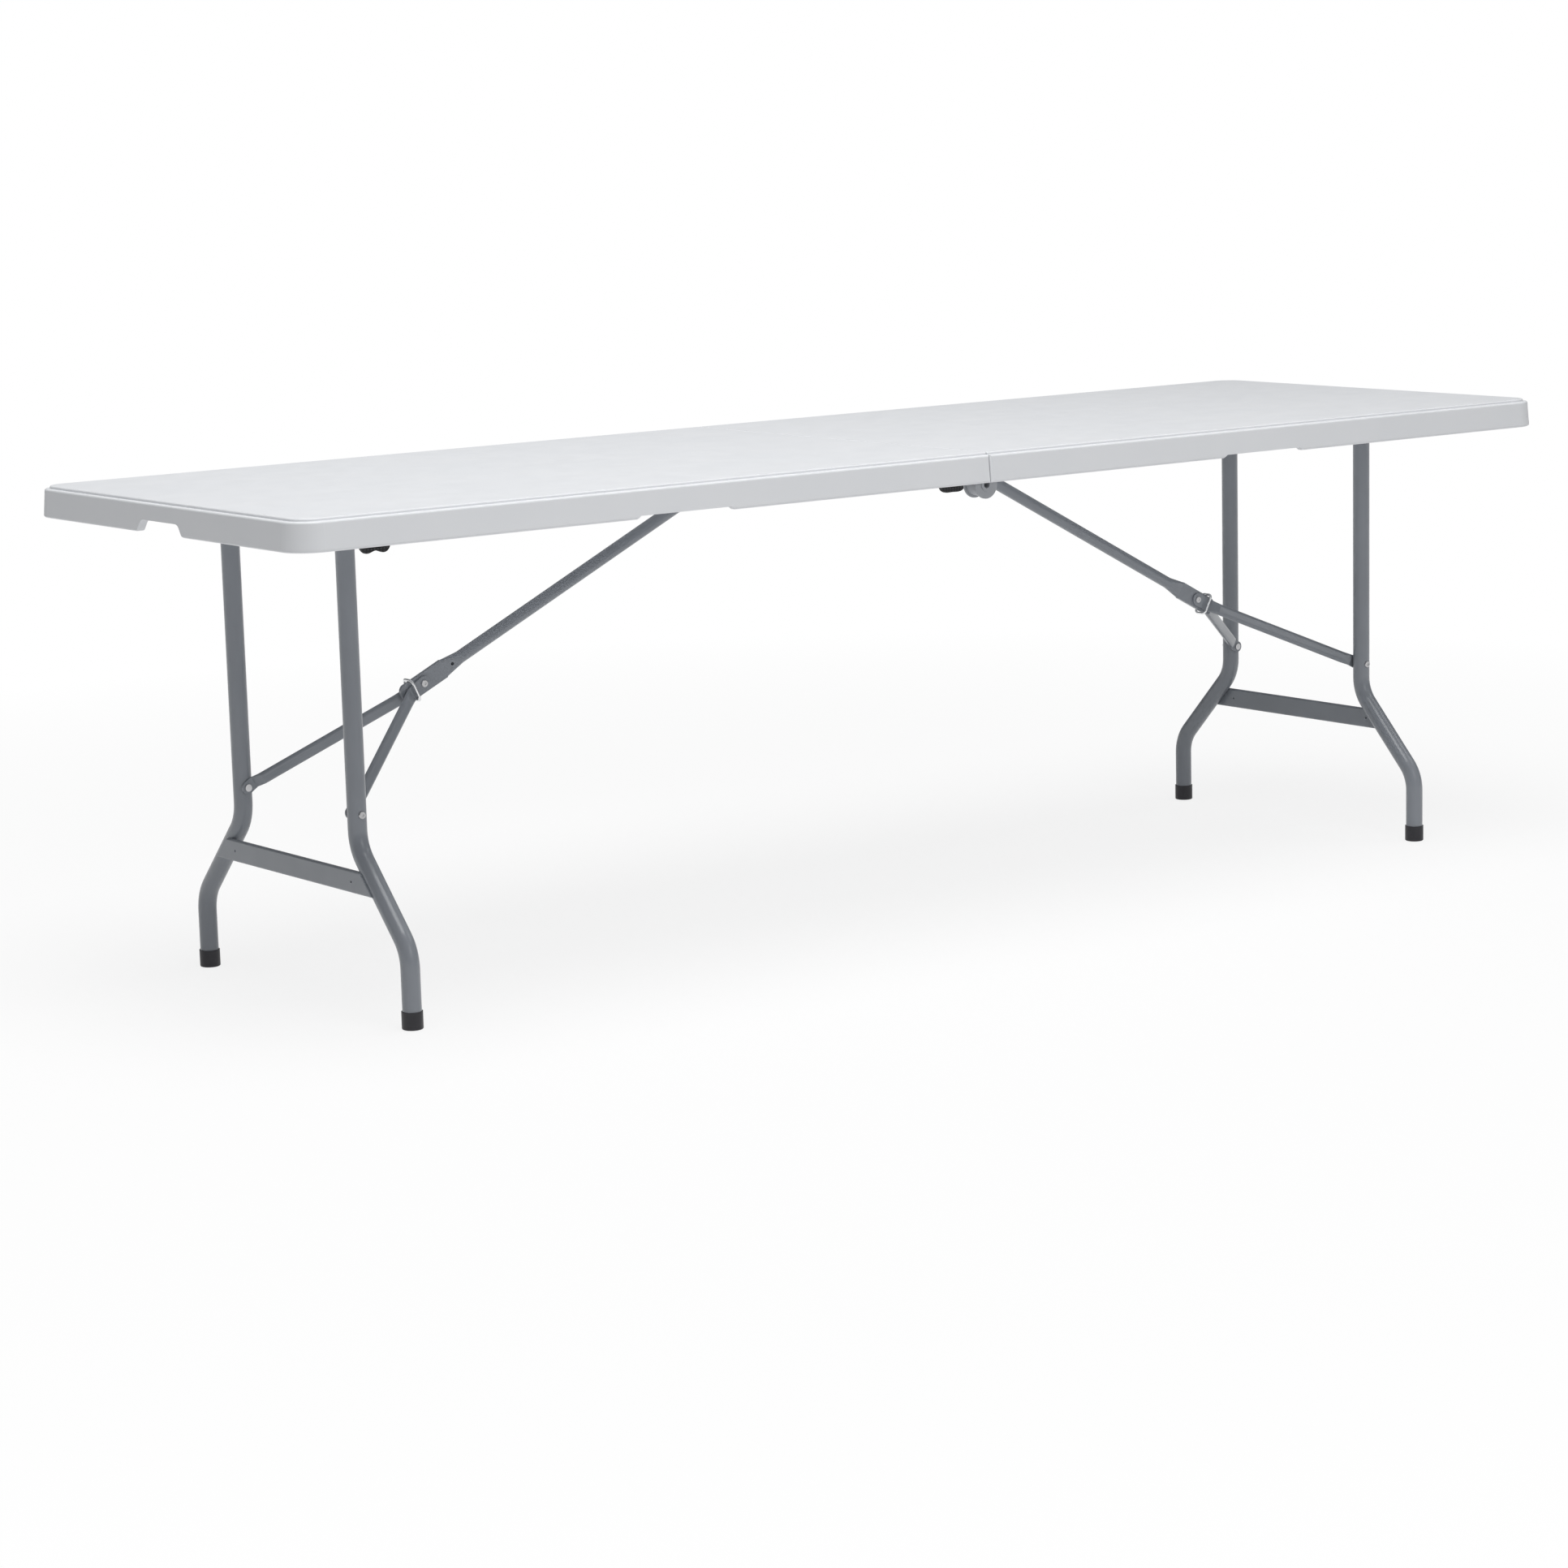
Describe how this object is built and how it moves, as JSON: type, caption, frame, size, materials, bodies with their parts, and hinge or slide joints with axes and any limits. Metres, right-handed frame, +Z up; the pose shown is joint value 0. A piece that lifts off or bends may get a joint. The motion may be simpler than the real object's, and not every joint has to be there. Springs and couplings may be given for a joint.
{
  "type": "folding table",
  "caption": "Long folding table with a white moulded top that folds in half, grey tubular legs with locking braces, and webbing carry handles.",
  "frame": {"origin": "on the floor under the middle of the top, at the hinge line", "axes": "+X along the length to the right end, +Y to the back edge with the carry handles, +Z up"},
  "size_m": [2.428, 0.762, 0.745],
  "materials": {
    "moulded_top": "fine pebble texture, slightly cool white",
    "grey_steel": "satin blue-grey powder coat",
    "hinge_steel": "lighter grey satin coat",
    "bright_steel": "zinc-plated, slightly dull",
    "black_plastic": "matte black",
    "webbing": "woven black webbing"
  },
  "bodies": {
    "hinge_pins": {"front_hinge_pin": "hinge_steel", "back_hinge_pin": "hinge_steel"},
    "left_half": {"left_top": "moulded_top", "left_front_rail": "grey_steel", "left_back_rail": "grey_steel", "left_rail_plugs": "black_plastic", "left_brace_bracket": "grey_steel", "left_bracket_screws": "bright_steel", "left_brace_pin": "bright_steel", "left_handle_tabs": "webbing", "left_front_hinge_ears": "hinge_steel", "left_back_hinge_ears": "hinge_steel"},
    "left_leg_set": {"left_pivot_tube": "grey_steel", "left_front_leg": "grey_steel", "left_back_leg": "grey_steel", "left_leg_crossbar": "grey_steel", "left_front_foot": "black_plastic", "left_back_foot": "black_plastic", "left_leg_rivets": "bright_steel"},
    "left_brace_tube": {"left_upper_brace": "grey_steel"},
    "left_brace_arms": {"left_front_brace_arm": "grey_steel", "left_back_brace_arm": "grey_steel", "left_knee_rivet": "bright_steel", "left_arm_rivets": "bright_steel"},
    "left_ring": {"left_lock_ring": "bright_steel"},
    "left_carry_handle": {"left_handle": "webbing"},
    "right_half": {"right_top": "moulded_top", "right_front_rail": "grey_steel", "right_back_rail": "grey_steel", "right_rail_plugs": "black_plastic", "right_brace_bracket": "grey_steel", "right_bracket_screws": "bright_steel", "right_brace_pin": "bright_steel", "right_handle_tabs": "webbing", "right_front_hinge_knuckle": "hinge_steel", "right_back_hinge_knuckle": "hinge_steel"},
    "right_leg_set": {"right_pivot_tube": "grey_steel", "right_front_leg": "grey_steel", "right_back_leg": "grey_steel", "right_leg_crossbar": "grey_steel", "right_front_foot": "black_plastic", "right_back_foot": "black_plastic", "right_leg_rivets": "bright_steel"},
    "right_brace_tube": {"right_upper_brace": "grey_steel"},
    "right_brace_arms": {"right_front_brace_arm": "grey_steel", "right_back_brace_arm": "grey_steel", "right_knee_rivet": "bright_steel", "right_arm_rivets": "bright_steel"},
    "right_ring": {"right_lock_ring": "bright_steel"},
    "right_carry_handle": {"right_handle": "webbing"}
  },
  "joints": [
    {"name": "left_fold", "type": "hinge", "parent": "hinge_pins", "child": "left_half", "pos_m": [0, 0, 0.6955], "axis": [0, -1, 0], "range_deg": [0, 90]},
    {"name": "left_leg_fold", "type": "hinge", "parent": "left_half", "child": "left_leg_set", "pos_m": [-1.009, 0, 0.716], "axis": [0, -1, 0], "range_deg": [0, 90]},
    {"name": "left_brace_swing", "type": "hinge", "parent": "left_half", "child": "left_brace_tube", "pos_m": [-0.19, 0, 0.722], "axis": [0, 1, 0], "range_deg": [0, 24.29]},
    {"name": "left_knee_bend", "type": "hinge", "parent": "left_brace_tube", "child": "left_brace_arms", "pos_m": [-0.78871, 0, 0.44094], "axis": [0, -1, 0], "range_deg": [0, 171.28]},
    {"name": "left_ring_slide", "type": "slide", "parent": "left_brace_tube", "child": "left_ring", "axis": [0.9052, 0, 0.4249], "range_m": [0, 0.2501]},
    {"name": "left_handle_swing", "type": "hinge", "parent": "left_half", "child": "left_carry_handle", "pos_m": [-0.57, 0.3672, 0.7015], "axis": [1, 0, 0], "range_deg": [0, 90]},
    {"name": "right_fold", "type": "hinge", "parent": "hinge_pins", "child": "right_half", "pos_m": [0, 0, 0.6955], "axis": [0, 1, 0], "range_deg": [0, 90]},
    {"name": "right_leg_fold", "type": "hinge", "parent": "right_half", "child": "right_leg_set", "pos_m": [1.009, 0, 0.716], "axis": [0, 1, 0], "range_deg": [0, 90]},
    {"name": "right_brace_swing", "type": "hinge", "parent": "right_half", "child": "right_brace_tube", "pos_m": [0.19, 0, 0.722], "axis": [0, -1, 0], "range_deg": [0, 27.03]},
    {"name": "right_knee_bend", "type": "hinge", "parent": "right_brace_tube", "child": "right_brace_arms", "pos_m": [0.77364, 0, 0.41318], "axis": [0, 1, 0], "range_deg": [0, 180.85]},
    {"name": "right_ring_slide", "type": "slide", "parent": "right_brace_tube", "child": "right_ring", "axis": [-0.8839, 0, 0.4677], "range_m": [0, 0.2501]},
    {"name": "right_handle_swing", "type": "hinge", "parent": "right_half", "child": "right_carry_handle", "pos_m": [0.57, 0.3672, 0.7015], "axis": [1, 0, 0], "range_deg": [0, 90]}
  ],
  "couplings": [
    {"joint": "left_brace_swing", "follows": "left_leg_fold", "ratio": 0.26977},
    {"joint": "left_knee_bend", "follows": "left_leg_fold", "ratio": 1.9029},
    {"joint": "left_ring_slide", "follows": "left_leg_fold", "m_per_rad": 0.15915},
    {"joint": "right_brace_swing", "follows": "right_leg_fold", "ratio": 0.30018},
    {"joint": "right_knee_bend", "follows": "right_leg_fold", "ratio": 2.0093},
    {"joint": "right_ring_slide", "follows": "right_leg_fold", "m_per_rad": 0.15915}
  ]
}
